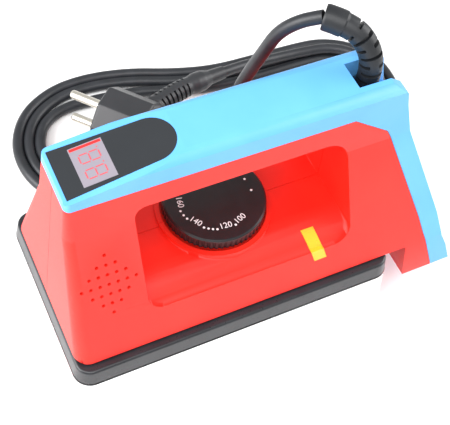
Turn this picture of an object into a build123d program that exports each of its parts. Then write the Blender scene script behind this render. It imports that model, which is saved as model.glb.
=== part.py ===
"""Electric waxing iron for skis and snowboards, as an assembly of separate pieces.

Frame: the nose points to -X, the heel and the cord to +X, up is +Z.  The origin is the
centre of the heated base plate's underside.  All sizes are in millimetres.
"""
import os
from math import atan2, cos, degrees, pi, radians, sin, tan

from build123d import *

# ---------------------------------------------------------------- driving dimensions
PLATE_LENGTH = 160.0      # base plate, measured round its top edge
PLATE_WIDTH = 92.8
PLATE_THICKNESS = 32.3
PLATE_DRAFT = 3.6         # how far the cast walls lean out, top to bottom
PLATE_CORNER = 8.4

GASKET_THICKNESS = 1.1
COLLAR_TOP = 41.6         # ledge of the black collar
HOUSING_BOTTOM = 43.0     # lower rim of the red housing
HEEL_BOTTOM = 18.5
PARTING_Z = 122.8         # line between red housing and blue cover, along the handle
TOP_Z = 134.3             # top of the handle
WALL = 2.8                # moulded wall thickness
SEAM_GAP = 0.25           # visible line between red and blue mouldings

OPENING_BOTTOM = 59.5     # hand opening, at the sides
OPENING_FLOOR = 66.0      # hand opening, raised middle of the floor
OPENING_TOP = 112.6
OPENING_FRONT = -42.6
OPENING_REAR = 57.5

DIAL_X = 2.2              # thermostat dial: upright axis through this X, on the centre plane
DIAL_RADIUS = 23.6
DIAL_BOTTOM = 69.8
DIAL_TOP = 76.0
SPINDLE_RADIUS = 3.0
RUNNING_CLEARANCE = 0.05

SLOT_HALF_WIDTH = 6.9     # slot in the cover that the cord leaves through
SLOT_FRONT = 59.8
SLOT_FLOOR = 114.0

CORD_DIAMETER = 6.0

# half width of the housing at a height, and the radius of its upright corners there
HOUSING_SECTIONS = [
    (HEEL_BOTTOM, 43.5, 7.0),
    (HOUSING_BOTTOM, 41.0, 7.0),
    (105.0, 17.0, 4.5),
    (PARTING_Z, 14.6, 2.8),
    (TOP_Z, 14.2, 2.4),
]
FRONT_X_BOTTOM = -78.0
FRONT_LEAN = 7.0 / 84.4   # the nose leans back as it rises

os.makedirs("parts", exist_ok=True)
NODES = {}


# ---------------------------------------------------------------- helpers
def keep(name, shape):
    """Store one node; its solids are written at the end."""
    NODES[name] = shape
    return shape


def side_prism(points, half=80.0):
    """Extrude a closed side-view outline (x, z) to both sides of the centre plane."""
    return extrude(make_face(Plane.XZ * Polyline(*points, close=True)), amount=half, both=True)


def block(x0, x1, y0, y1, z0, z1):
    return Pos((x0 + x1) / 2, (y0 + y1) / 2, (z0 + z1) / 2) * Box(x1 - x0, y1 - y0, z1 - z0)


def upright(x, y, z0, z1, radius):
    return Pos(x, y, (z0 + z1) / 2) * Cylinder(radius, z1 - z0)


def crosswise(x, z, y0, y1, radius):
    return Pos(x, (y0 + y1) / 2, z) * Rot(90, 0, 0) * Cylinder(radius, y1 - y0)


def lengthwise(y, z, x0, x1, radius):
    return Pos((x0 + x1) / 2, y, z) * Rot(0, 90, 0) * Cylinder(radius, x1 - x0)


def plate_slab(length, width, corner, z0, z1, center_x=0.0, taper=0.0):
    """Rounded rectangle extruded upwards; a positive taper makes it narrower at the top."""
    outline = Pos(center_x, 0, z0) * RectangleRounded(length, width, corner)
    return extrude(outline, amount=z1 - z0, taper=taper)


def corner_points(half_x, half_y, center_x=0.0):
    return [(center_x + sx * half_x, sy * half_y) for sx in (-1, 1) for sy in (-1, 1)]


def pan_screw(x, y, head_bottom, length, radius, head_radius, head_height):
    """Upright pan-head screw with a cross recess, its shank pointing down."""
    screw = upright(x, y, head_bottom - length, head_bottom, radius)
    screw += upright(x, y, head_bottom, head_bottom + head_height, head_radius)
    depth = head_height * 0.6
    top = head_bottom + head_height
    slot = 0.22 * head_radius
    for wide, deep in ((0.62 * head_radius, slot), (slot, 0.62 * head_radius)):
        screw -= block(x - wide, x + wide, y - deep, y + deep, top - depth, top + 1)
    return screw


# ---------------------------------------------------------------- heated base
PLATE_FOOT_LENGTH = PLATE_LENGTH + 2 * PLATE_DRAFT
PLATE_FOOT_WIDTH = PLATE_WIDTH + 2 * PLATE_DRAFT
PLATE_TAPER = degrees(atan2(PLATE_DRAFT, PLATE_THICKNESS))
POCKET_LENGTH, POCKET_WIDTH, POCKET_FLOOR = 132.0, 62.0, 15.0
COLLAR_SCREW_X, COLLAR_SCREW_Y = 68.5, 36.0
COLLAR_SCREW_RADIUS = 2.0
CLAMP_SCREW_X, CLAMP_SCREW_Y = 56.0, 22.0
CLAMP_SCREW_RADIUS = 1.5
ELEMENT_RADIUS = 4.0
ELEMENT_HALF_SPAN = 14.0
CLAMP_PLATE_BOTTOM = POCKET_FLOOR + 2 * ELEMENT_RADIUS + 0.2
CLAMP_PLATE_THICKNESS = 1.5


def build_base_plate():
    foot = RectangleRounded(PLATE_FOOT_LENGTH, PLATE_FOOT_WIDTH, PLATE_CORNER + PLATE_DRAFT)
    plate = extrude(foot, amount=PLATE_THICKNESS, taper=PLATE_TAPER)
    plate = chamfer(plate.faces().sort_by(Axis.Z)[0].edges(), 0.6)
    plate -= plate_slab(POCKET_LENGTH, POCKET_WIDTH, 10, POCKET_FLOOR, PLATE_THICKNESS + 1)
    for x, y in corner_points(CLAMP_SCREW_X, CLAMP_SCREW_Y):
        post = upright(x, y, POCKET_FLOOR - 1, CLAMP_PLATE_BOTTOM, 4)
        plate += post
        plate -= upright(x, y, POCKET_FLOOR - 4, CLAMP_PLATE_BOTTOM + 1, CLAMP_SCREW_RADIUS)
    for x, y in corner_points(COLLAR_SCREW_X, COLLAR_SCREW_Y):
        plate -= upright(x, y, PLATE_THICKNESS - 14, PLATE_THICKNESS + 1, COLLAR_SCREW_RADIUS)
    return plate


def build_heating_element():
    """Sheathed U-shaped element lying in the pocket, with both ends turned up at the rear."""
    z = POCKET_FLOOR + ELEMENT_RADIUS + 0.1
    rear = 34.0
    front = -44.0
    path = FilletPolyline(
        (rear, -ELEMENT_HALF_SPAN, z + 14),
        (rear, -ELEMENT_HALF_SPAN, z),
        (front, -ELEMENT_HALF_SPAN, z),
        (front, ELEMENT_HALF_SPAN, z),
        (rear, ELEMENT_HALF_SPAN, z),
        (rear, ELEMENT_HALF_SPAN, z + 14),
        radius=9.0,
    )
    section = Plane(origin=path @ 0, z_dir=path % 0) * Circle(ELEMENT_RADIUS)
    element = sweep(section, path=path)
    for y in (-ELEMENT_HALF_SPAN, ELEMENT_HALF_SPAN):
        element += upright(rear, y, z + 13.9, z + 19, 1.5)
    return element


def build_clamp_plate():
    top = CLAMP_PLATE_BOTTOM + CLAMP_PLATE_THICKNESS
    clamp = plate_slab(126, 56, 7, CLAMP_PLATE_BOTTOM, top)
    for x, y in corner_points(CLAMP_SCREW_X, CLAMP_SCREW_Y):
        clamp -= upright(x, y, CLAMP_PLATE_BOTTOM - 1, top + 1, CLAMP_SCREW_RADIUS + 0.3)
    clamp -= block(22, 44, -20, 20, CLAMP_PLATE_BOTTOM - 1, top + 1)
    return clamp


def build_clamp_screws():
    top = CLAMP_PLATE_BOTTOM + CLAMP_PLATE_THICKNESS
    return [pan_screw(x, y, top, 8, CLAMP_SCREW_RADIUS, 3.0, 2.0)
            for x, y in corner_points(CLAMP_SCREW_X, CLAMP_SCREW_Y)]


def build_thermal_cutout():
    """Snap-disc safety cut-out on the clamp plate, with two flat terminals."""
    z = CLAMP_PLATE_BOTTOM + CLAMP_PLATE_THICKNESS
    cutout = upright(-14, 0, z, z + 6, 8) + upright(-14, 0, z + 6, z + 9, 6)
    for y in (-3.5, 3.5):
        cutout += block(-17, -11, y - 0.4, y + 0.4, z + 8.9, z + 14)
    return cutout


def build_temperature_probe():
    """Thermistor bead in a steel sleeve, lying in the pocket between the element's legs."""
    z = POCKET_FLOOR + 2.1
    probe = lengthwise(0, z, -30, 8, 2.0)
    probe += Pos(-30, 0, z) * Sphere(2.0)
    return probe


def build_gasket():
    top = PLATE_THICKNESS + GASKET_THICKNESS
    gasket = plate_slab(PLATE_LENGTH - 1.6, PLATE_WIDTH - 1.6, 7.6, PLATE_THICKNESS, top)
    gasket -= plate_slab(POCKET_LENGTH + 1, POCKET_WIDTH + 1, 10, PLATE_THICKNESS - 1, top + 1)
    for x, y in corner_points(COLLAR_SCREW_X, COLLAR_SCREW_Y):
        gasket -= upright(x, y, PLATE_THICKNESS - 1, top + 1, COLLAR_SCREW_RADIUS + 0.3)
    return gasket


COLLAR_BOTTOM = PLATE_THICKNESS + GASKET_THICKNESS
COLLAR_LIP_TOP = 47.0
COLLAR_LIP_LENGTH, COLLAR_LIP_WIDTH = 148.0, 74.0
COLLAR_FLANGE_TOP = COLLAR_BOTTOM + 3.0


def build_collar():
    """Heat-resistant frame: outer skirt, ledge, neck that the housing slips over, inner flange."""
    skirt_taper = 9.0
    collar = plate_slab(PLATE_LENGTH - 0.6, PLATE_WIDTH - 0.6, 8.1, COLLAR_BOTTOM, COLLAR_TOP,
                        taper=skirt_taper)
    collar = fillet(collar.faces().sort_by(Axis.Z)[-1].edges(), 1.4)
    collar += plate_slab(COLLAR_LIP_LENGTH, COLLAR_LIP_WIDTH, 6, COLLAR_TOP - 2, COLLAR_LIP_TOP)
    collar -= plate_slab(COLLAR_LIP_LENGTH - 5, COLLAR_LIP_WIDTH - 5, 4,
                         COLLAR_FLANGE_TOP, COLLAR_LIP_TOP + 1)
    collar -= plate_slab(126, 60, 8, COLLAR_BOTTOM - 1, COLLAR_LIP_TOP)
    for x, y in corner_points(COLLAR_SCREW_X, COLLAR_SCREW_Y):
        collar -= upright(x, y, COLLAR_FLANGE_TOP, COLLAR_LIP_TOP + 1, 4.6)
        collar -= upright(x, y, COLLAR_BOTTOM - 1, COLLAR_LIP_TOP + 1, COLLAR_SCREW_RADIUS + 0.3)
    return collar


def build_collar_screws():
    return [pan_screw(x, y, COLLAR_FLANGE_TOP, 15, COLLAR_SCREW_RADIUS, 3.8, 2.4)
            for x, y in corner_points(COLLAR_SCREW_X, COLLAR_SCREW_Y)]


def build_heat_shield():
    """Thin reflector resting on the collar's flange, above the heater pocket."""
    bottom = COLLAR_FLANGE_TOP
    shield = plate_slab(134, 66, 6, bottom, bottom + 0.8)
    for x, y in corner_points(COLLAR_SCREW_X, COLLAR_SCREW_Y):
        shield -= upright(x, y, bottom - 1, bottom + 2, 6)
    shield -= block(28, 40, -20, 20, bottom - 1, bottom + 2)
    shield -= block(-19, -9, -6, 6, bottom - 1, bottom + 2)
    return shield


# ---------------------------------------------------------------- housing envelope
SIDE_OUTLINE = [
    (-85.0, HOUSING_BOTTOM), (-85.0, 125.5), (-71.0, 127.4), (-20.0, TOP_Z), (75.0, TOP_Z),
    (80.5, 130.5), (82.6, 122.0), (86.8, 106.0), (105.3, 57.0), (109.5, 42.0),
    (114.5, 32.0), (119.6, HEEL_BOTTOM), (92.0, HEEL_BOTTOM), (88.5, HOUSING_BOTTOM),
]
PARTING_OUTLINE = [
    (-95.0, PARTING_Z), (56.5, PARTING_Z), (74.5, 110.2), (77.0, 105.5), (95.1, 57.6),
    (98.1, 48.0), (109.0, HEEL_BOTTOM), (112.0, 8.0), (140.0, 8.0), (140.0, 160.0), (-95.0, 160.0),
]


def housing_section(z, half_width, corner, inset):
    front = FRONT_X_BOTTOM + (z - HOUSING_BOTTOM) * FRONT_LEAN + inset
    rear = 160.0
    outline = RectangleRounded(rear - front, 2 * (half_width - inset), max(corner - inset, 1.0))
    return Pos((front + rear) / 2, 0, z) * outline


def housing_envelope(inset=0.0):
    """The housing's whole outer form; an inset gives the hollow inside its walls."""
    sections = [housing_section(z, half, corner, inset) for z, half, corner in HOUSING_SECTIONS]
    column = None
    for lower, upper in zip(sections, sections[1:]):
        stage = loft([lower, upper], ruled=True)
        column = stage if column is None else column + stage
    outline = make_face(Plane.XZ * Polyline(*SIDE_OUTLINE, close=True))
    if inset:
        outline = offset(outline, amount=-inset, kind=Kind.INTERSECTION)
    return column & extrude(outline, amount=80, both=True)


def crowned_top(body):
    """Round the long upper edges of the handle with one arc on each side."""
    radius = 5.5
    shoulder = 14.9
    arc_z = TOP_Z - radius
    arc_y = shoulder - radius
    low, wide = 126.0, 60.0
    diagonal = radius * cos(radians(45))
    half = [(wide, 10), (wide, low), (shoulder, low), (shoulder, arc_z)]
    outline = Polyline(*half)
    outline += ThreePointArc((shoulder, arc_z), (arc_y + diagonal, arc_z + diagonal), (arc_y, TOP_Z))
    outline += Line((arc_y, TOP_Z), (-arc_y, TOP_Z))
    outline += ThreePointArc((-arc_y, TOP_Z), (-arc_y - diagonal, arc_z + diagonal),
                             (-shoulder, arc_z))
    outline += Polyline(*[(-y, z) for y, z in reversed(half)])
    outline += Line((-wide, 10), (wide, 10))
    return body & extrude(Plane.YZ * make_face(outline), amount=150, both=True)


def opening_face(grow=0.0):
    """Side view of the hand opening, rounded in its corners."""
    outline = make_face(Plane.XZ * FilletPolyline(
        (OPENING_FRONT - 0.8, OPENING_TOP), (OPENING_FRONT, OPENING_BOTTOM),
        (OPENING_REAR, OPENING_BOTTOM), (OPENING_REAR - 2.5, OPENING_TOP),
        radius=[5.0, 7.0, 8.0, 12.0], close=True))
    return offset(outline, amount=grow) if grow else outline


def floor_hump():
    """Crowned platform that carries the dial, as a bar along X."""
    side = [(y, OPENING_FLOOR - drop) for y, drop in FLOOR_CROWN]
    outline = Plane.YZ * Polyline(*side, *[(-y, z) for y, z in reversed(side)], close=True)
    reach = 80.0
    return extrude(make_face(outline), amount=reach, both=True)


FLOOR_CROWN = [(34.0, 7.8), (30.5, 4.3), (26.5, 1.8), (21.5, 0.4), (17.0, 0.0)]
BOSS_OUTER, BOSS_INNER, BOSS_TOP, BOSS_ROOT = 26.6, 24.4, 69.2, 62.5
NUT_HOLE = 3.6
SHELL_BOSSES = [(-62.0, 104.0), (-64.0, 56.0), (66.0, 92.0), (98.0, 36.0)]
SHELL_SCREW_RADIUS = 1.5
LENS_OUTLINE = [(32.9, 72.0), (39.5, 72.0), (44.8, 54.2), (38.2, 54.2)]   # (x, z), leaning
LENS_INNER_Y = -24.6
LENS_CLEARANCE = 0.1
LAMP_X = 40.0
VENT_RADIUS, VENT_SIDES = 0.8, 12
VENT_PITCH = 4.0
VENT_ROW_RISE = 4.83
VENT_ROWS = [1, 3, 5, 7, 5, 3, 1]
VENT_CENTER_X, VENT_BOTTOM_Z = -58.2, 65.8


def housing_walls():
    """Outer form minus the hand opening and the hollow inside the walls."""
    outer = crowned_top(housing_envelope())
    opening = extrude(opening_face(), amount=90, both=True)
    opening -= floor_hump()
    outer -= opening
    hollow = housing_envelope(WALL)
    hollow -= extrude(opening_face(WALL), amount=90, both=True)
    hollow += block(-38, 52, -20, 20, OPENING_BOTTOM - 5, OPENING_FLOOR - WALL)
    hollow += block(-COLLAR_LIP_LENGTH / 2 - 0.3, COLLAR_LIP_LENGTH / 2 + 0.3,
                    -COLLAR_LIP_WIDTH / 2 - 0.3, COLLAR_LIP_WIDTH / 2 + 0.3,
                    HOUSING_BOTTOM - 2, HOUSING_BOTTOM + 5)
    walls = outer - hollow
    walls += upright(DIAL_X, 0, BOSS_ROOT, BOSS_TOP, BOSS_OUTER) \
        - upright(DIAL_X, 0, BOSS_ROOT - 1, BOSS_TOP + 1, BOSS_INNER)
    walls -= upright(DIAL_X, 0, OPENING_FLOOR - 8, OPENING_FLOOR + 2, NUT_HOLE)
    return outer, walls


def lens_zone(shrink=0.0):
    """Pocket for the indicator lens, which wraps over the near edge of the opening."""
    outline = make_face(Plane.XZ * Polyline(*LENS_OUTLINE, close=True))
    if shrink:
        outline = offset(outline, amount=-shrink, kind=Kind.INTERSECTION)
    zone = extrude(outline, amount=60, both=True)
    return zone & block(-150, 150, -60, LENS_INNER_Y - shrink, 0, 100)


def vent_holes():
    """Diamond lattice of small holes through both side walls, near the nose."""
    hole = RegularPolygon(VENT_RADIUS, VENT_SIDES, rotation=7)
    holes = []
    for row, count in enumerate(VENT_ROWS):
        z = VENT_BOTTOM_Z + row * VENT_ROW_RISE
        for i in range(count):
            x = VENT_CENTER_X + (i - (count - 1) / 2) * VENT_PITCH
            both_sides = extrude(Plane.XZ * Pos(x, z) * hole, amount=45, both=True)
            holes += (both_sides - block(-90, 0, -8, 8, 0, 200)).solids()
    return holes


# ---------------------------------------------------------------- display in the nose
NOSE_SLOPE = degrees(atan2(TOP_Z - 127.4, 51.0))
NOSE_PLANE = Plane(origin=(-71.0, 0, 127.4), x_dir=(cos(radians(NOSE_SLOPE)), 0,
                                                    sin(radians(NOSE_SLOPE))),
                   z_dir=(-sin(radians(NOSE_SLOPE)), 0, cos(radians(NOSE_SLOPE))))
WINDOW_DEPTH = 1.6
MODULE_U0, MODULE_U1, MODULE_HALF = 9.5, 23.5, 9.6


def bullet_outline(shrink=0.0):
    """Window outline on the nose: square in front, tapering to a round rear end."""
    u0, u1, tip = 1.5 + shrink, 40.5, 51.2 - shrink
    front_half, rear_half = 12.3 - shrink, 10.6 - shrink
    outline = Line((u0, -front_half), (u1, -rear_half))
    outline += ThreePointArc((u1, -rear_half), (tip, 0), (u1, rear_half))
    outline += Line((u1, rear_half), (u0, front_half))
    outline += Line((u0, front_half), (u0, -front_half))
    return make_face(outline)


def on_nose(sketch, low, high):
    """Extrude a sketch drawn on the sloping nose plane between two depths."""
    placed = NOSE_PLANE.offset(low) * sketch
    return extrude(placed, amount=high - low, dir=NOSE_PLANE.z_dir)


def nose_box(u0, u1, half, low, high):
    return on_nose(Pos((u0 + u1) / 2, 0) * Rectangle(u1 - u0, 2 * half), low, high)


def build_display_window():
    return on_nose(bullet_outline(0.12), -WINDOW_DEPTH, 0.0)


def build_display_module():
    """Two-digit light-emitting display block under the window."""
    return nose_box(MODULE_U0, MODULE_U1, MODULE_HALF, -WINDOW_DEPTH - 5.0, -WINDOW_DEPTH)


def build_display_board():
    top = -WINDOW_DEPTH - 5.0
    board = nose_box(5.0, 42.0, 10.4, top - 1.6, top)
    board += nose_box(28.0, 36.0, 4.0, top, top + 1.8)
    return board


# ---------------------------------------------------------------- shells and cover
def build_housing():
    """Red left and right shells, and the blue cover over the handle and the rear leg."""
    outer, walls = housing_walls()
    slot_block = block(SLOT_FRONT - 3, 84, -SLOT_HALF_WIDTH - 3, SLOT_HALF_WIDTH + 3,
                       SLOT_FLOOR - 3, 140) & outer
    for x, z in SHELL_BOSSES:
        walls += crosswise(x, z, -60, 60, 4.2) & outer
    cover_zone = side_prism(PARTING_OUTLINE)
    red = walls - extrude(offset(make_face(Plane.XZ * Polyline(*PARTING_OUTLINE, close=True)),
                                 amount=SEAM_GAP), amount=80, both=True)
    blue = (walls + slot_block) & cover_zone
    blue -= block(SLOT_FRONT, 120, -SLOT_HALF_WIDTH, SLOT_HALF_WIDTH, SLOT_FLOOR, 140)
    blue -= upright(GUARD_X, 0, SLOT_FLOOR - 5, SLOT_FLOOR + 1, FOOT_NECK_RADIUS + 0.2)
    blue -= on_nose(bullet_outline(), -WINDOW_DEPTH, 5.0)
    blue -= nose_box(MODULE_U0 - 0.2, MODULE_U1 + 0.2, MODULE_HALF + 0.2, -6.0, 1.0)
    for x, z in SHELL_BOSSES:
        red -= crosswise(x, z, -9, 60, SHELL_SCREW_RADIUS + 0.1)
        red -= crosswise(x, z, 8, 60, 3.4)
    red -= lens_zone()
    red -= vent_holes()
    left = red & block(-150, 150, -80, -0.1, 0, 200)
    right = red & block(-150, 150, 0.1, 80, 0, 200)
    return left, right, blue


def build_shell_screws():
    """Four screws from the far side; each joins the two shells through a boss."""
    screws = []
    for x, z in SHELL_BOSSES:
        screw = crosswise(x, z, -8.5, 8.0, SHELL_SCREW_RADIUS) + crosswise(x, z, 8.0, 10.2, 2.9)
        slots = block(x - 1.7, x + 1.7, 8.9, 11, z - 0.4, z + 0.4)
        slots += block(x - 0.4, x + 0.4, 8.9, 11, z - 1.7, z + 1.7)
        screws.append(screw - slots)
    return screws


# ---------------------------------------------------------------- thermostat dial
def build_dial_knob():
    """Ribbed disc knob: hollow below, with a hub that grips the spindle."""
    radius, ribs = DIAL_RADIUS, 60
    knob = upright(DIAL_X, 0, DIAL_BOTTOM, DIAL_TOP, radius)
    knob = chamfer(knob.faces().sort_by(Axis.Z)[-1].edges(), 0.8)
    flute = upright(DIAL_X + radius + 0.35, 0, DIAL_BOTTOM - 1, DIAL_TOP - 1.4, 0.8)
    knob -= [Pos(DIAL_X, 0, 0) * Rot(0, 0, i * 360 / ribs) * Pos(-DIAL_X, 0, 0) * flute
             for i in range(ribs)]
    knob -= upright(DIAL_X, 0, DIAL_BOTTOM - 1, DIAL_TOP - 2.2, radius - 2.6)
    knob += upright(DIAL_X, 0, DIAL_BOTTOM, DIAL_TOP - 2.0, 6.2)
    knob -= upright(DIAL_X, 0, DIAL_BOTTOM - 1, DIAL_TOP - 2.2, SPINDLE_RADIUS)
    return knob


POT_TOP = OPENING_FLOOR - WALL
POT_HEIGHT = 7.0


def build_dial_spindle():
    """Spindle of the control, from inside its bushing up into the knob's hub."""
    return upright(DIAL_X, 0, POT_TOP + 0.6, DIAL_TOP - 2.2, SPINDLE_RADIUS)


def build_control_body():
    """Rotary control under the floor of the hand opening, with its threaded bushing."""
    body = upright(DIAL_X, 0, POT_TOP - POT_HEIGHT, POT_TOP, 8.0)
    body += upright(DIAL_X, 0, POT_TOP, OPENING_FLOOR + 2.4, NUT_HOLE - 0.1)
    body -= upright(DIAL_X, 0, POT_TOP + 0.4, OPENING_FLOOR + 4, SPINDLE_RADIUS + RUNNING_CLEARANCE)
    for y in (-5, 0, 5):
        body += block(DIAL_X + 4.0, DIAL_X + 11, y - 0.8, y + 0.8, POT_TOP - 5.5, POT_TOP - 4.7)
    return body


def build_control_nut():
    hexagon = extrude(Pos(DIAL_X, 0, OPENING_FLOOR) * RegularPolygon(5.8, 6), amount=2.2)
    return hexagon - upright(DIAL_X, 0, OPENING_FLOOR - 1, OPENING_FLOOR + 3, NUT_HOLE - 0.1)


# ---------------------------------------------------------------- electrics inside
def build_control_board():
    """Main circuit board below the dial, with a relay and its regulator."""
    z = OPENING_BOTTOM - WALL - 4.2
    board = block(-40, 50, -24, 24, z, z + 1.6)
    board -= upright(DIAL_X, 0, z - 1, z + 3, 9.0)
    board += block(26, 44, -8, 8, z - 4.0, z)
    board += block(-36, -26, -6, 4, z - 3.5, z)
    return board


def build_relay():
    z = OPENING_BOTTOM - WALL - 4.2
    return block(-24, -10, 8, 22, z + 1.6, z + 4.0)


def build_indicator_lens():
    """Amber light pipe that wraps over the near edge of the hand opening."""
    outer = crowned_top(housing_envelope()) - (
        extrude(opening_face(), amount=90, both=True) - floor_hump())
    return outer & lens_zone(LENS_CLEARANCE)


def build_indicator_lamp():
    """Small lamp that shines into the amber lens."""
    lamp = crosswise(LAMP_X, 48.5, -32.5, -27.0, 2.0)
    return lamp + crosswise(LAMP_X, 48.5, -27.0, -26.0, 2.4)


def build_terminal_block():
    body = block(60, 78, -12, 12, 52, 62)
    for y in (-8, 0, 8):
        body -= upright(69, y, 56, 63, 2.0)
        body -= lengthwise(y, 55, 59, 79, 1.3)
    return body


def build_cord_clamp():
    """Bar that pinches the cord against a rib below the slot."""
    clamp = block(73.5, 76.5, -9, 9, 96, 102)
    for y in (-6.5, 6.5):
        clamp -= lengthwise(y, 99, 73, 77, 1.2)
    return clamp


def build_clamp_bar_screws():
    return [lengthwise(y, 99, 70, 76.5, 1.1) + lengthwise(y, 99, 76.5, 78.0, 2.2)
            for y in (-6.5, 6.5)]


def bent_tube(points, radius, sharpness=0.45):
    """Round bar along straight runs joined by tangent arcs; returns it with its arc radii."""
    vectors = [Vector(*p) for p in points]
    radii = []
    for before, here, after in zip(vectors, vectors[1:], vectors[2:]):
        first, second = here - before, after - here
        turn = first.get_angle(second)
        radii.append(sharpness * min(first.length, second.length) / tan(radians(turn / 2)))
    path = FilletPolyline(*points, radius=radii)
    section = Plane(origin=path @ 0, z_dir=path % 0) * Circle(radius)
    return sweep(section, path=path), radii, path.length


# ---------------------------------------------------------------- cord, guard and plug
GUARD_X = 68.5
GUARD_RADIUS = 5.7
FOOT_CLEARANCE, FOOT_REAR, FOOT_TOP = 0.1, 75.6, 124.0
FOOT_NECK_RADIUS = 4.1
GUARD_ROUTE = [
    (GUARD_X, 0.0, 124.0), (69.2, -0.2, 135.5), (67.4, 3.4, 146.0), (61.2, 10.6, 153.4),
    (52.4, 18.4, 153.7),
]
RISER_ROUTE = [
    (52.4, 18.4, 153.7), (47.8, 21.8, 150.7), (43.7, 24.9, 146.6), (40.4, 27.5, 141.7),
    (38.0, 29.5, 136.0), (36.5, 31.0, 129.2), (35.0, 33.8, 119.2), (33.4, 37.6, 106.0),
    (32.4, 41.6, 92.0), (33.4, 45.6, 77.5), (37.4, 49.8, 63.0), (44.6, 53.8, 49.6),
    (54.8, 57.0, 37.6), (67.6, 59.2, 27.4), (82.4, 60.2, 19.2), (98.6, 59.4, 13.2),
    (115.4, 56.2, 8.8), (132.6, 52.0, 5.8),
]
TAIL_ROUTE = [
    (64.0, 110.5, 17.4), (76.0, 112.8, 15.4), (89.0, 114.4, 12.6), (103.0, 115.2, 10.4),
    (118.0, 115.2, 9.0),
]
COIL_OUTER = [
    (-60.0, 55.0), (-64.5, 131.0), (-4.0, 151.5), (64.0, 127.5), (140.0, 127.0), (174.0, 92.0),
    (168.0, 46.5), (118.0, 46.5), (98.0, 55.0),
]
COIL_INNER = [
    (-36.0, 70.0), (-45.0, 112.0), (-4.0, 124.0), (62.0, 104.5), (130.0, 103.5), (149.0, 88.0),
    (145.0, 69.0),
]
COIL_OUTER_FILLET, COIL_INNER_FILLET = 24.0, 13.0
COIL_TOP = 12.0
PLUG_CENTER = (-2.4, 92.4, 19.0)
PLUG_TURN = 42.0          # plug's cord exit, turned from +X towards +Y
PLUG_HALF_DEPTH = 13.5
PIN_SPACING, PIN_RADIUS, PIN_LENGTH = 19.0, 2.4, 19.0
RELIEF_RADIUS = 5.0
RELIEF_ROUTE = [
    (17.9, 99.8, 19.0), (32.0, 105.2, 19.0), (48.0, 108.2, 18.6), (64.0, 110.5, 17.4),
]


def build_guard_root():
    """Square foot that holds the guard in the slot; the cord passes down through it."""
    half = SLOT_HALF_WIDTH - FOOT_CLEARANCE
    foot = block(SLOT_FRONT + FOOT_CLEARANCE, FOOT_REAR, -half, half, SLOT_FLOOR + 0.01, FOOT_TOP)
    foot = fillet(foot.edges().filter_by(Axis.Z), 0.8)
    return foot + upright(GUARD_X, 0, SLOT_FLOOR - 5, SLOT_FLOOR + 0.02, FOOT_NECK_RADIUS)


def build_cord_guard():
    return bent_tube(GUARD_ROUTE, GUARD_RADIUS)[0]


def build_cord_coil():
    """Outer form of the elongated loose coil that lies behind the iron."""
    outer = make_face(FilletPolyline(*COIL_OUTER, radius=COIL_OUTER_FILLET, close=True))
    inner = make_face(FilletPolyline(*COIL_INNER, radius=COIL_INNER_FILLET, close=True))
    return extrude(outer, amount=COIL_TOP) - extrude(inner, amount=COIL_TOP)


def place_plug(local):
    return Pos(*PLUG_CENTER) * Rot(0, 0, PLUG_TURN) * local


def build_plug_body():
    """Angled two-pin plug standing on edge, pins one above the other."""
    half, tall, cut = 16.0, 19.0, 9.5
    octagon = Plane.XZ * Polyline(
        (-half, -tall + cut), (-half + cut, -tall), (half - cut, -tall), (half, -tall + cut),
        (half, tall - cut), (half - cut, tall), (-half + cut, tall), (-half, tall - cut),
        close=True)
    body = extrude(make_face(octagon), amount=PLUG_HALF_DEPTH, both=True)
    body = fillet(body.edges(), 1.6)
    shoulder = lengthwise(-8.0, 0, 14.0, 20.2, 7.2)
    return place_plug(body + shoulder)


def build_plug_pins():
    pins = []
    for z in (-PIN_SPACING / 2, PIN_SPACING / 2):
        pin = crosswise(0, z, PLUG_HALF_DEPTH, PLUG_HALF_DEPTH + PIN_LENGTH, PIN_RADIUS)
        tip = pin.edges().sort_by(Axis.Y)[-1]
        pins.append(place_plug(fillet(tip, 1.6)))
    return pins


def report_tube(name, radii, length, solid, radius):
    error = solid.volume / (pi * radius ** 2 * length) - 1
    shortest = min(radii)
    print(f"{name}: length {length:.1f} mm, smallest arc {shortest:.1f} mm, "
          f"volume error {100 * error:.2f} %")


# ---------------------------------------------------------------- assembly
keep("base_plate", build_base_plate())
keep("heating_element", build_heating_element())
keep("heater_clamp_plate", build_clamp_plate())
keep("clamp_plate_screws", build_clamp_screws())
keep("thermal_cutout", build_thermal_cutout())
keep("temperature_probe", build_temperature_probe())
keep("insulating_gasket", build_gasket())
keep("collar", build_collar())
keep("collar_screws", build_collar_screws())
keep("heat_shield", build_heat_shield())

left_shell, right_shell, top_cover = build_housing()
keep("left_shell", left_shell)
keep("right_shell", right_shell)
keep("top_cover", top_cover)
keep("shell_screws", build_shell_screws())
keep("display_window", build_display_window())
keep("display_module", build_display_module())
keep("display_board", build_display_board())
keep("dial_knob", build_dial_knob())
keep("dial_spindle", build_dial_spindle())
keep("control_body", build_control_body())
keep("control_nut", build_control_nut())
keep("control_board", build_control_board())
keep("relay", build_relay())
keep("indicator_lens", build_indicator_lens())
keep("indicator_lamp", build_indicator_lamp())
keep("terminal_block", build_terminal_block())
keep("cord_clamp", build_cord_clamp())
keep("cord_clamp_screws", build_clamp_bar_screws())
keep("guard_root", build_guard_root())
keep("cord_guard", build_cord_guard())

for node, route in (("cord_riser", RISER_ROUTE), ("cord_tail", TAIL_ROUTE)):
    tube, arc_radii, tube_length = bent_tube(route, CORD_DIAMETER / 2)
    report_tube(node, arc_radii, tube_length, tube, CORD_DIAMETER / 2)
    keep(node, tube)
keep("plug_strain_relief", bent_tube(RELIEF_ROUTE, RELIEF_RADIUS)[0])
keep("cord_coil", build_cord_coil())
keep("plug_body", build_plug_body())
keep("plug_pins", build_plug_pins())

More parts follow.
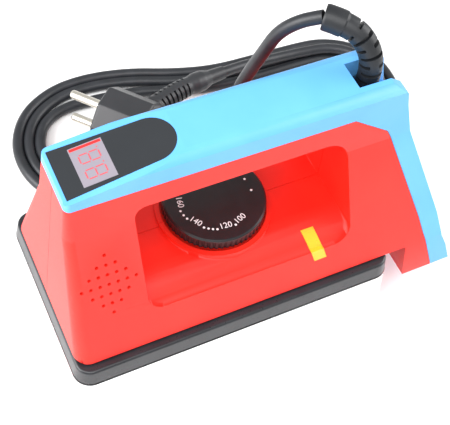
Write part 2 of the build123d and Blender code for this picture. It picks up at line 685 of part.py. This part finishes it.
for node, shape in NODES.items():
    solids = shape if isinstance(shape, list) else shape.solids()
    solid_list = [s for item in solids for s in item.solids()]
    export_step(Compound(children=solid_list), f"parts/{node}.step")
    print(f"{node}: {len(solid_list)} solid(s), {sum(s.volume for s in solid_list):.0f} mm3")
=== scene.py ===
"""Looks for the waxing iron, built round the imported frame. All sizes are in metres."""

import math

import bmesh
import bpy
import numpy as np
from mathutils import Matrix, Vector


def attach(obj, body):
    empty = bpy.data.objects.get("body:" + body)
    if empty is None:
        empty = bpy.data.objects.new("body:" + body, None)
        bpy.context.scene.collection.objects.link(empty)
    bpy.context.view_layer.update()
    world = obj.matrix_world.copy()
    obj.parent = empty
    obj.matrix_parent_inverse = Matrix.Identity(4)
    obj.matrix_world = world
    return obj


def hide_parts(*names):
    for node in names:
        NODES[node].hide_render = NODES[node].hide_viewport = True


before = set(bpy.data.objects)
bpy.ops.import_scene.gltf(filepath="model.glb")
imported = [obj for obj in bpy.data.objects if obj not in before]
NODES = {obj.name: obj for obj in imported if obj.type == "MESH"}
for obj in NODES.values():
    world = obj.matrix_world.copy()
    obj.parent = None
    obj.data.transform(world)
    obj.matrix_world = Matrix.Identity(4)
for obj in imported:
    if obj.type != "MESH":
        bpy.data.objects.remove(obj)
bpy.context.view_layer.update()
MM = 0.001

# ------------------------------------------------------------------ camera
CAMERA_PLACE = (-0.13017, -0.21267, 0.43688)
CAMERA_AZIMUTH, CAMERA_ELEVATION, CAMERA_ROLL = -33.26, 56.05, 9.87
CAMERA_LENS, SENSOR = 78.616, 36.0


def add_camera():
    a, e, r = (math.radians(x) for x in (CAMERA_AZIMUTH, CAMERA_ELEVATION, CAMERA_ROLL))
    back = Vector((math.sin(a) * math.cos(e), -math.cos(a) * math.cos(e), math.sin(e)))
    right = Vector((math.cos(a), math.sin(a), 0))
    up = back.cross(right)
    across = math.cos(r) * right + math.sin(r) * up
    above = math.cos(r) * up - math.sin(r) * right
    camera = bpy.data.objects.new("camera", bpy.data.cameras.new("camera"))
    camera.data.lens = CAMERA_LENS
    camera.data.sensor_width = SENSOR
    camera.data.clip_start = 0.01
    camera.matrix_world = Matrix.Translation(CAMERA_PLACE) @ Matrix(
        (across, above, back)).transposed().to_4x4()
    bpy.context.scene.collection.objects.link(camera)
    bpy.context.scene.camera = camera


add_camera()


# ------------------------------------------------------------------ materials
RAMP_SPAN = (0.3, 0.7)
SECOND_SHADE = 0.88
RELIEF_STRENGTH = 0.6


def material(name, color, second=None, roughness=0.5, spread=0.08, metallic=0.0, mottle=60.0,
             grain=1500.0, bump=0.02, stretch=(1, 1, 1), **sockets):
    """Moulded, cast or brushed surface: two noises give colour drift, grain and relief."""
    made = bpy.data.materials.new(name)
    made.use_nodes = True
    tree = made.node_tree
    shader = tree.nodes["Principled BSDF"]
    shader.inputs["Metallic"].default_value = metallic
    for socket, value in sockets.items():
        shader.inputs[socket.replace("_", " ")].default_value = value
    place = tree.nodes.new("ShaderNodeTexCoord")
    mapping = tree.nodes.new("ShaderNodeMapping")
    mapping.inputs["Scale"].default_value = stretch
    tree.links.new(place.outputs["Object"], mapping.inputs["Vector"])

    def noise(scale, detail):
        node = tree.nodes.new("ShaderNodeTexNoise")
        node.inputs["Scale"].default_value = scale
        node.inputs["Detail"].default_value = detail
        tree.links.new(mapping.outputs["Vector"], node.inputs["Vector"])
        return node.outputs["Fac"]

    drift, fine = noise(mottle, 3.0), noise(grain, 4.0)
    ramp = tree.nodes.new("ShaderNodeValToRGB")
    second = second or tuple(c * SECOND_SHADE for c in color)
    low_end, high_end = ramp.color_ramp.elements
    low_end.position, high_end.position = RAMP_SPAN
    low_end.color = (*second, 1)
    high_end.color = (*color, 1)
    tree.links.new(drift, ramp.inputs["Fac"])
    tree.links.new(ramp.outputs["Color"], shader.inputs["Base Color"])
    rough = tree.nodes.new("ShaderNodeMapRange")
    rough.inputs["To Min"].default_value = roughness - spread
    rough.inputs["To Max"].default_value = roughness + spread
    tree.links.new(fine, rough.inputs["Value"])
    tree.links.new(rough.outputs["Result"], shader.inputs["Roughness"])
    relief = tree.nodes.new("ShaderNodeBump")
    relief.inputs["Strength"].default_value = RELIEF_STRENGTH
    relief.inputs["Distance"].default_value = bump * MM
    tree.links.new(fine, relief.inputs["Height"])
    tree.links.new(relief.outputs["Normal"], shader.inputs["Normal"])
    return made


def clear_material(name, color, **sockets):
    """Smooth translucent moulding, with only a trace of grain."""
    return material(name, color, roughness=0.2, spread=0.05, bump=0.01, **sockets)


RED = material("red_moulding", (0.86, 0.018, 0.007), (0.80, 0.013, 0.005), roughness=0.42, mottle=45,
               grain=2600, bump=0.035, Specular_IOR_Level=0.45)
BLUE = material("blue_moulding", (0.125, 0.43, 0.86), (0.105, 0.39, 0.82), roughness=0.45, mottle=40,
                grain=2600, bump=0.03)
BRUSHED = (26, 26, 700)    # noise scales that draw the grain out along the sides
MATERIALS = {
    "aluminium": material("machined_aluminium", (0.80, 0.80, 0.80), (0.70, 0.705, 0.71), metallic=1.0,
                          roughness=0.27, spread=0.09, mottle=1.3, grain=3.0, bump=0.05,
                          stretch=BRUSHED, Anisotropic=0.4),
    "sheath_steel": material("sheath_steel", (0.42, 0.41, 0.39), metallic=1.0, roughness=0.4),
    "sheet_steel": material("sheet_steel", (0.62, 0.62, 0.63), metallic=1.0, roughness=0.3),
    "screw_steel": material("screw_steel", (0.55, 0.55, 0.56), metallic=1.0, roughness=0.25),
    "black_plastic": material("black_plastic", (0.02, 0.021, 0.023), roughness=0.45),
    "gasket_rubber": material("gasket_rubber", (0.012, 0.012, 0.012), roughness=0.7, bump=0.04),
    "collar_black": material("collar_black", (0.018, 0.02, 0.024), (0.013, 0.014, 0.017),
                             roughness=0.3, bump=0.03, mottle=90),
    "red_plastic": RED,
    "blue_plastic": BLUE,
    "window_black": material("window_black", (0.018, 0.021, 0.025), roughness=0.13, spread=0.03,
                             bump=0.004, Coat_Weight=0.5),
    "display_grey": material("display_grey", (0.28, 0.25, 0.29), (0.24, 0.22, 0.26), roughness=0.32),
    "board_green": material("board_green", (0.02, 0.16, 0.06), (0.015, 0.11, 0.045), roughness=0.4,
                            mottle=400),
    "knob_black": material("knob_black", (0.011, 0.012, 0.014), (0.008, 0.009, 0.01), roughness=0.36,
                           spread=0.05, mottle=200, grain=3500, bump=0.02),
    "lens_amber": clear_material("lens_amber", (0.95, 0.58, 0.03), Transmission_Weight=0.1,
                                 Subsurface_Weight=0.2),
    "lamp_glass": clear_material("lamp_glass", (0.9, 0.75, 0.5), Transmission_Weight=0.6),
    "terminal_white": material("terminal_white", (0.75, 0.74, 0.70), roughness=0.4),
    "guard_rubber": material("guard_rubber", (0.011, 0.013, 0.016), (0.007, 0.008, 0.01),
                             roughness=0.47, grain=2200, bump=0.04),
    "cord_black": material("cord_black", (0.022, 0.024, 0.029), (0.014, 0.016, 0.019), roughness=0.42,
                           mottle=130, grain=1800, bump=0.05),
    "plug_black": material("plug_black", (0.03, 0.032, 0.036), (0.022, 0.024, 0.027), roughness=0.4,
                           grain=1900, bump=0.04),
    "pin_metal": material("pin_metal", (0.86, 0.83, 0.74), (0.78, 0.74, 0.65), metallic=1.0,
                          roughness=0.3, stretch=(1, 1, 3)),
}
MARK_WHITE = material("mark_white", (0.82, 0.84, 0.86), roughness=0.5)
MARK_RED = material("segment_red", (0.62, 0.10, 0.12), (0.52, 0.07, 0.09), roughness=0.35)
BAR_RED = material("display_bar_red", (0.80, 0.03, 0.03), (0.7, 0.02, 0.02), roughness=0.35)

SLOT_OF = {
    "base_plate": "aluminium", "heating_element": "sheath_steel", "heater_clamp_plate": "sheet_steel",
    "clamp_plate_screws": "screw_steel", "thermal_cutout": "sheet_steel",
    "temperature_probe": "sheath_steel", "insulating_gasket": "gasket_rubber",
    "collar": "collar_black", "collar_screws": "screw_steel", "heat_shield": "sheet_steel",
    "left_shell": "red_plastic", "right_shell": "red_plastic", "top_cover": "blue_plastic",
    "shell_screws": "screw_steel", "display_window": "window_black",
    "display_module": "display_grey", "display_board": "board_green", "dial_knob": "knob_black",
    "dial_spindle": "screw_steel", "control_body": "sheet_steel", "control_nut": "screw_steel",
    "control_board": "board_green", "relay": "black_plastic", "indicator_lens": "lens_amber",
    "indicator_lamp": "lamp_glass", "terminal_block": "terminal_white",
    "cord_clamp": "black_plastic", "cord_clamp_screws": "screw_steel", "guard_root": "guard_rubber",
    "cord_guard": "guard_rubber", "cord_riser": "cord_black", "cord_coil": "cord_black",
    "cord_tail": "cord_black", "plug_strain_relief": "plug_black", "plug_body": "plug_black",
    "plug_pins": "pin_metal",
}


def dress(obj, slot):
    obj.data.materials.clear()
    obj.data.materials.append(MATERIALS[slot])


for node_name, slot_name in SLOT_OF.items():
    dress(NODES[node_name], slot_name)


# ------------------------------------------------------------------ pieces and their riding
def add_piece(name, data, body, slot=None, replaces=(), finish=None):
    obj = bpy.data.objects.new(name, data)
    bpy.context.scene.collection.objects.link(obj)
    if finish is not None:
        obj.data.materials.append(finish)
    elif slot is not None:
        dress(obj, slot)
    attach(obj, body)
    if replaces:
        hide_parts(*replaces)
    return obj


def mesh_from(name, vertices, faces, smooth_angle=None):
    mesh = bpy.data.meshes.new(name)
    mesh.from_pydata([tuple(v) for v in vertices], [], faces)
    mesh.validate()
    finish_shading(mesh, smooth_angle)
    return mesh


def finish_shading(mesh, smooth_angle):
    if smooth_angle is not None:
        mesh.shade_smooth()
        mesh.set_sharp_from_angle(angle=math.radians(smooth_angle))


# ------------------------------------------------------------------ cord
CORD_DIAMETER = 0.006
RISER = [
    (0.0524, 0.0184, 0.1537), (0.0478, 0.0218, 0.1507), (0.0437, 0.0249, 0.1466),
    (0.0404, 0.0275, 0.1417), (0.0380, 0.0295, 0.1360), (0.0365, 0.0310, 0.1292),
    (0.0350, 0.0338, 0.1192), (0.0334, 0.0376, 0.1060), (0.0324, 0.0416, 0.0920),
    (0.0334, 0.0456, 0.0775), (0.0374, 0.0498, 0.0630), (0.0446, 0.0538, 0.0496),
    (0.0548, 0.0570, 0.0376), (0.0676, 0.0592, 0.0274), (0.0824, 0.0602, 0.0192),
    (0.0986, 0.0594, 0.0132), (0.1154, 0.0562, 0.0088), (0.1326, 0.0520, 0.0058),
]
TAIL = [
    (0.0640, 0.1105, 0.0174), (0.0760, 0.1128, 0.0154), (0.0890, 0.1144, 0.0126),
    (0.1030, 0.1152, 0.0104), (0.1180, 0.1152, 0.0090),
]


def lane_end(centre_x, centre_y, radius, first_angle):
    """Six points round one end of the coil, 30 degrees apart."""
    angles = [math.radians(first_angle + 30 * i) for i in range(6)]
    return [(centre_x + radius * math.cos(a), centre_y + radius * math.sin(a)) for a in angles]


# outermost lane of the coil, seen from above, anticlockwise from the front right
OUTER_LANE = lane_end(0.1275, 0.0868, 0.0368, -75) + [
    (0.1200, 0.1240), (0.0940, 0.1243), (0.0660, 0.1250), (0.0420, 0.1310), (0.0190, 0.1400),
    (-0.0060, 0.1445),
] + lane_end(-0.0170, 0.1010, 0.0430, 105) + [
    (0.0100, 0.0583), (0.0500, 0.0583), (0.0920, 0.0583), (0.1190, 0.0540),
]
LANE_PITCH = 0.0062
# stations passed since the cord landed: lane counted inwards, height of the centre line
COIL_KEYS = [
    (1, 0.0, 0.0040), (2, 0.0, 0.0031), (20, 0.0, 0.0031), (21, 1.0, 0.0031),
    (42, 1.0, 0.0031), (43, 2.0, 0.0031), (53, 2.0, 0.0031), (55, 2.7, 0.0031),
    (57, 2.0, 0.0031), (58, 2.0, 0.0031), (59, 2.0, 0.0050), (60, 1.6, 0.0090),
    (61, 0.6, 0.0092), (63, 0.5, 0.0088), (64, 1.3, 0.0093), (65, 2.2, 0.0094),
    (66, 1.6, 0.0092), (71, 1.5, 0.0090),
]


def coil_points():
    """The coil's turns: one point per station, moved inwards by the lane it runs in."""
    count = len(OUTER_LANE)
    at, lanes, heights = zip(*COIL_KEYS)
    points = []
    for step in range(at[0], at[-1] + 1):
        before = Vector(OUTER_LANE[(step - 1) % count])
        after = Vector(OUTER_LANE[(step + 1) % count])
        along = (after - before).normalized()
        inward = Vector((-along.y, along.x))
        here = Vector(OUTER_LANE[step % count]) + inward * LANE_PITCH * float(np.interp(step, at, lanes))
        points.append((here.x, here.y, float(np.interp(step, at, heights))))
    return points


def nurbs(name, points, radius=0.0):
    curve = bpy.data.curves.new(name, "CURVE")
    curve.dimensions = "3D"
    spline = curve.splines.new("NURBS")
    spline.points.add(len(points) - 1)
    for point, place in zip(spline.points, points):
        point.co = (*place, 1.0)
    spline.order_u = 3
    spline.use_endpoint_u = True
    curve.resolution_u = 12
    curve.bevel_depth = radius
    curve.bevel_resolution = 7
    curve.use_fill_caps = radius > 0
    return curve


cord = add_piece("mains_cord", nurbs("mains_cord", RISER + coil_points() + TAIL[::-1], CORD_DIAMETER / 2),
                 "iron", "cord_black", ("cord_riser", "cord_coil", "cord_tail"))


# ------------------------------------------------------------------ slotted rubber sleeves
def centre_line(route):
    """Points read from the route's NURBS spline, with their distance along it."""
    holder = bpy.data.objects.new("route", nurbs("route", route))
    mesh = bpy.data.meshes.new_from_object(holder)
    points = np.array([v.co for v in mesh.vertices])
    bpy.data.objects.remove(holder)
    bpy.data.meshes.remove(mesh)
    steps = np.linalg.norm(np.diff(points, axis=0), axis=1)
    keep = np.concatenate([[True], steps > 1e-7])
    points = points[keep]
    along = np.concatenate([[0], np.cumsum(np.linalg.norm(np.diff(points, axis=0), axis=1))])
    return points, along


def point_at(line, along, distance):
    return Vector([float(np.interp(distance, along, line[:, i])) for i in range(3)])


SLEEVE_RINGS, SLEEVE_SIDES = 70, 48
SLOT_EDGE = 0.00022        # metres over which a slot's wall falls to the bore
BRIDGE_EDGE = 0.05         # radians over which a bridge's side falls to the bore
TANGENT_STEP = 4e-4
SLEEVE_SHARP = 32          # degrees


def slotted_sleeve(name, route, profile, slots, bore, bridge=36.0):
    """Flexible sleeve round a route. profile: (share of length, radius); slots: (start, width,
    quarter turn) in metres; each slot is cut down to the bore except at two opposite bridges."""
    line, along = centre_line(route)
    length = along[-1]
    edge = SLOT_EDGE
    stations = set(np.linspace(0, length, SLEEVE_RINGS))
    for start, width, _ in slots:
        stations |= {start, start + edge, start + width - edge, start + width}
    stations = sorted(s for s in stations if 0 <= s <= length)
    half = math.radians(bridge) / 2
    angles = set(np.linspace(0, 2 * math.pi, SLEEVE_SIDES, endpoint=False))
    for quarter in range(4):
        for side in (-half - BRIDGE_EDGE, -half, half, half + BRIDGE_EDGE):
            angles.add((quarter * math.pi / 2 + side) % (2 * math.pi))
    angles = sorted(angles)
    shares, radii = zip(*profile)
    side = Vector((0, 0, 1)).cross(Vector(line[1]) - Vector(line[0]))
    side = side.normalized() if side.length > 1e-6 else Vector((1, 0, 0))
    vertices = []
    for s in stations:
        centre = point_at(line, along, s)
        ahead = point_at(line, along, min(s + TANGENT_STEP, length))
        behind = point_at(line, along, max(s - TANGENT_STEP, 0))
        tangent = (ahead - behind).normalized()
        side = (side - tangent * side.dot(tangent)).normalized()
        other = tangent.cross(side)
        outer = float(np.interp(s / length, shares, radii))
        cut = [q for start, width, q in slots if start + edge * 0.9 < s < start + width - edge * 0.9]
        for angle in angles:
            radius = outer
            if cut:
                turned = (angle - cut[0] * math.pi / 2) % math.pi
                if min(turned, math.pi - turned) > half + 0.02:
                    radius = bore
            vertices.append(centre + radius * (math.cos(angle) * side + math.sin(angle) * other))
    n = len(angles)
    faces = [(r * n + i, r * n + (i + 1) % n, (r + 1) * n + (i + 1) % n, (r + 1) * n + i)
             for r in range(len(stations) - 1) for i in range(n)]
    faces += [tuple(range(n))[::-1], tuple((len(stations) - 1) * n + i for i in range(n))]
    return mesh_from(name, vertices, faces, SLEEVE_SHARP)


GUARD_ROUTE = [
    (0.0685, 0.0, 0.1240), (0.0692, -0.0002, 0.1355), (0.0674, 0.0034, 0.1460),
    (0.0612, 0.0106, 0.1534), (0.0524, 0.0184, 0.1537),
]
GUARD_PROFILE = [(0, 0.0056), (0.06, 0.0057), (0.12, 0.0050), (0.80, 0.0052), (0.805, 0.0057),
                 (0.985, 0.0057), (1.0, 0.0053)]
guard_slots = [(0.0058 + 0.0042 * i, 0.0015, i % 2) for i in range(7)]
guard = add_piece("slotted_cord_guard",
                  slotted_sleeve("slotted_cord_guard", GUARD_ROUTE, GUARD_PROFILE, guard_slots, 0.0034,
                                 bridge=44.0),
                  "iron", "guard_rubber", ("cord_guard",))

RELIEF_ROUTE = [
    (0.0179, 0.0998, 0.0190), (0.0320, 0.1052, 0.0190), (0.0480, 0.1082, 0.0186),
    (0.0640, 0.1105, 0.0174),
]
RELIEF_PROFILE = [(0, 0.0062), (0.45, 0.0056), (0.52, 0.0052), (0.60, 0.0060), (0.70, 0.0058),
                  (0.80, 0.0042), (1.0, 0.0037)]
relief_slots = [(0.0022 + 0.0031 * i, 0.0014, 1) for i in range(7)]
relief = add_piece("ribbed_strain_relief",
                   slotted_sleeve("ribbed_strain_relief", RELIEF_ROUTE, RELIEF_PROFILE, relief_slots,
                                  0.0042),
                   "iron", "plug_black", ("plug_strain_relief",))

# ------------------------------------------------------------------ softened mouldings
MERGE_DISTANCE = 4e-6
FLAT_ANGLE = 0.6           # degrees; flatter neighbours become one face
MOULDING_SHARP = 38        # degrees; sharper edges stay hard in the shading


def softened(name, node, body, slot, width, rim_width=None, in_rim=None, sharp=24.0, shortest=0.0016):
    """A node's form with its visible convex edges rounded, as a moulding's are."""
    bm = bmesh.new()
    bm.from_mesh(NODES[node].data)
    bmesh.ops.remove_doubles(bm, verts=bm.verts, dist=MERGE_DISTANCE)
    bmesh.ops.dissolve_limit(bm, angle_limit=math.radians(FLAT_ANGLE), verts=bm.verts, edges=bm.edges)

    def sharp_edges(test):
        """Convex edges over the sharp angle whose middle passes the test."""
        return [e for e in bm.edges
                if len(e.link_faces) == 2 and e.is_convex and e.calc_length() > shortest
                and e.calc_face_angle() > math.radians(sharp)
                and test((e.verts[0].co + e.verts[1].co) / 2)]

    if in_rim is not None:
        rim = sharp_edges(in_rim)
        bmesh.ops.bevel(bm, geom=rim, offset=rim_width, offset_type="OFFSET", segments=4, profile=0.5,
                        affect="EDGES", clamp_overlap=True)
    rest = sharp_edges(lambda p: in_rim is None or not in_rim(p))
    bmesh.ops.bevel(bm, geom=rest, offset=width, offset_type="OFFSET", segments=2, profile=0.5,
                    affect="EDGES", clamp_overlap=True)
    mesh = bpy.data.meshes.new(name)
    bm.to_mesh(mesh)
    bm.free()
    finish_shading(mesh, MOULDING_SHARP)
    piece = add_piece(name, mesh, body, slot, (node,))
    even = piece.modifiers.new("even", "WEIGHTED_NORMAL")
    even.keep_sharp = True
    return piece


OPENING_X, OPENING_Z = (-0.0465, 0.0600), (0.0575, 0.1145)
DIAL_FACE = Vector((0.0022, 0.0, 0.0760))
DIAL_BOSS_RADIUS = 0.0275  # just outside the ring round the dial
HANDLE_HALF_WIDTH = 0.0105


def opening_rim(p):
    """Edges where the side faces turn into the hand opening."""
    inside = OPENING_X[0] < p.x < OPENING_X[1] and OPENING_Z[0] < p.z < OPENING_Z[1]
    return inside and abs(p.y) > HANDLE_HALF_WIDTH and (p - DIAL_FACE).xy.length > DIAL_BOSS_RADIUS


softened("left_shell_soft", "left_shell", "iron", "red_plastic", 0.0005, 0.0016, opening_rim)
softened("right_shell_soft", "right_shell", "iron", "red_plastic", 0.0005, 0.0016, opening_rim)
softened("top_cover_soft", "top_cover", "iron", "blue_plastic", 0.0008)
plug = softened("plug_body_soft", "plug_body", "iron", "plug_black", 0.0004)

# ------------------------------------------------------------------ display and dial marks
NOSE_FRONT = Vector((-0.0710, 0.0, 0.1274))
NOSE_SLOPE = math.atan2(6.9, 51.0)


def on_nose(u, v, height):
    """Place on the sloping nose: u backwards along it, v across, both in millimetres."""
    along = Vector((math.cos(NOSE_SLOPE), 0, math.sin(NOSE_SLOPE)))
    normal = Vector((-math.sin(NOSE_SLOPE), 0, math.cos(NOSE_SLOPE)))
    return NOSE_FRONT + (along * u + Vector((0, v, 0)) + normal * height) * MM


def on_dial(u, v, height):
    return DIAL_FACE + Vector((u, v, height)) * MM


def plates(name, outlines, place, low, high):
    """Thin flat slabs from anticlockwise outlines in millimetres."""
    vertices, faces = [], []
    for outline in outlines:
        start, n = len(vertices), len(outline)
        vertices += [place(u, v, height) for height in (low, high) for u, v in outline]
        faces.append(tuple(start + n + i for i in range(n)))
        faces.append(tuple(start + i for i in range(n))[::-1])
        faces += [(start + i, start + (i + 1) % n, start + n + (i + 1) % n, start + n + i)
                  for i in range(n)]
    return mesh_from(name, vertices, faces)


def rectangle(u0, u1, v0, v1):
    return [(u0, v0), (u1, v0), (u1, v1), (u0, v1)]


def disc(u, v, radius, sides=20):
    turns = [2 * math.pi * i / sides for i in range(sides)]
    return [(u + radius * math.cos(a), v + radius * math.sin(a)) for a in turns]


def digit(centre_v):
    """The seven segments of one figure, its top towards the nose, with its dot."""
    top, middle, bottom, half, thick = 12.4, 16.5, 20.6, 2.1, 0.28
    bars = [rectangle(u - thick, u + thick, centre_v - half + 0.5, centre_v + half - 0.5)
            for u in (top, middle, bottom)]
    for v in (centre_v - half, centre_v + half):
        bars += [rectangle(u0 + 0.4, u1 - 0.4, v - thick, v + thick)
                 for u0, u1 in ((top, middle), (middle, bottom))]
    return bars + [disc(bottom, centre_v + half + 1.2, 0.35)]


add_piece("display_face", plates("display_face", [rectangle(9.5, 23.5, -9.6, 9.6)], on_nose, 0.005, 0.05),
          "iron", finish=MATERIALS["display_grey"])
add_piece("display_bar", plates("display_bar", [rectangle(10.0, 23.0, 7.9, 9.2)], on_nose, 0.05, 0.09),
          "iron", finish=BAR_RED)
add_piece("display_digits", plates("display_digits", digit(-4.6) + digit(2.9), on_nose, 0.05, 0.08),
          "iron", finish=MARK_RED)

DOT_RADIUS, DOT_SIZE, NUMBER_RADIUS, NUMBER_HEIGHT = 17.3, 0.55, 15.9, 0.0040
DOT_ANGLES = [-174.4, -166.1, -158.4, -129.8, -123.0, -116.5, -110.0, -81.4, -9.4, 12.6]
NUMBERS = {"160": 169.5, "140": -145.5, "120": -96.1, "100": -68.8}
dots = [disc(DOT_RADIUS * math.cos(math.radians(a)), DOT_RADIUS * math.sin(math.radians(a)), DOT_SIZE)
        for a in DOT_ANGLES]
add_piece("dial_dots", plates("dial_dots", dots, on_dial, 0.002, 0.04), "dial", finish=MARK_WHITE)


def number_mesh(text, angle):
    """Printed number on the dial, its top towards the dial's centre."""
    curve = bpy.data.curves.new("number", "FONT")
    curve.body, curve.size, curve.extrude = text, NUMBER_HEIGHT, 0.00002
    curve.align_x = curve.align_y = "CENTER"
    holder = bpy.data.objects.new("number", curve)
    mesh = bpy.data.meshes.new_from_object(holder)
    bpy.data.objects.remove(holder)
    bpy.data.curves.remove(curve)
    turn = math.radians(angle)
    place = on_dial(NUMBER_RADIUS * math.cos(turn), NUMBER_RADIUS * math.sin(turn), 0.03)
    mesh.transform(Matrix.Translation(place) @ Matrix.Rotation(turn + math.pi / 2, 4, "Z"))
    mesh.materials.clear()
    return mesh


for text, angle in NUMBERS.items():
    add_piece(f"dial_number_{text}", number_mesh(text, angle), "dial", finish=MARK_WHITE)

# ------------------------------------------------------------------ floor, light, world
FLOOR_REACH = 3.0
FLOOR_DROP = 0.0002        # keeps the floor just below the base plate
floor_mesh = bpy.data.meshes.new("floor")
floor_corners = [(x * FLOOR_REACH, y * FLOOR_REACH, 0) for x, y in ((-1, -1), (1, -1), (1, 1), (-1, 1))]
floor_mesh.from_pydata(floor_corners, [], [(0, 1, 2, 3)])
floor = bpy.data.objects.new("floor", floor_mesh)
bpy.context.scene.collection.objects.link(floor)
floor.location.z = -FLOOR_DROP
floor_mesh.materials.append(material("pale_floor", (0.93, 0.93, 0.93), (0.92, 0.92, 0.92),
                                     roughness=0.6, bump=0.0))


def softbox(name, place, target, size, power):
    light = bpy.data.lights.new(name, "AREA")
    light.shape = "RECTANGLE"
    light.size, light.size_y = size
    light.energy = power
    obj = bpy.data.objects.new(name, light)
    obj.location = place
    obj.rotation_mode = "QUATERNION"
    obj.rotation_quaternion = (Vector(target) - Vector(place)).to_track_quat("-Z", "Y")
    bpy.context.scene.collection.objects.link(obj)


AIM = (0.02, 0.03, 0.06)
softbox("left_softbox", (-0.95, 0.10, 0.55), AIM, (0.8, 0.8), 17.0)
softbox("right_softbox", (0.95, -0.15, 0.60), AIM, (0.7, 0.7), 9.0)
softbox("top_softbox", (-0.30, -0.45, 1.00), AIM, (0.9, 0.7), 9.0)

WORLD_STRENGTH = 0.62
world = bpy.data.worlds.new("studio")
bpy.context.scene.world = world
world.use_nodes = True
background = world.node_tree.nodes["Background"]
background.inputs["Color"].default_value = (1.0, 1.0, 1.0, 1)
background.inputs["Strength"].default_value = WORLD_STRENGTH
bpy.context.scene.view_settings.view_transform = "Standard"
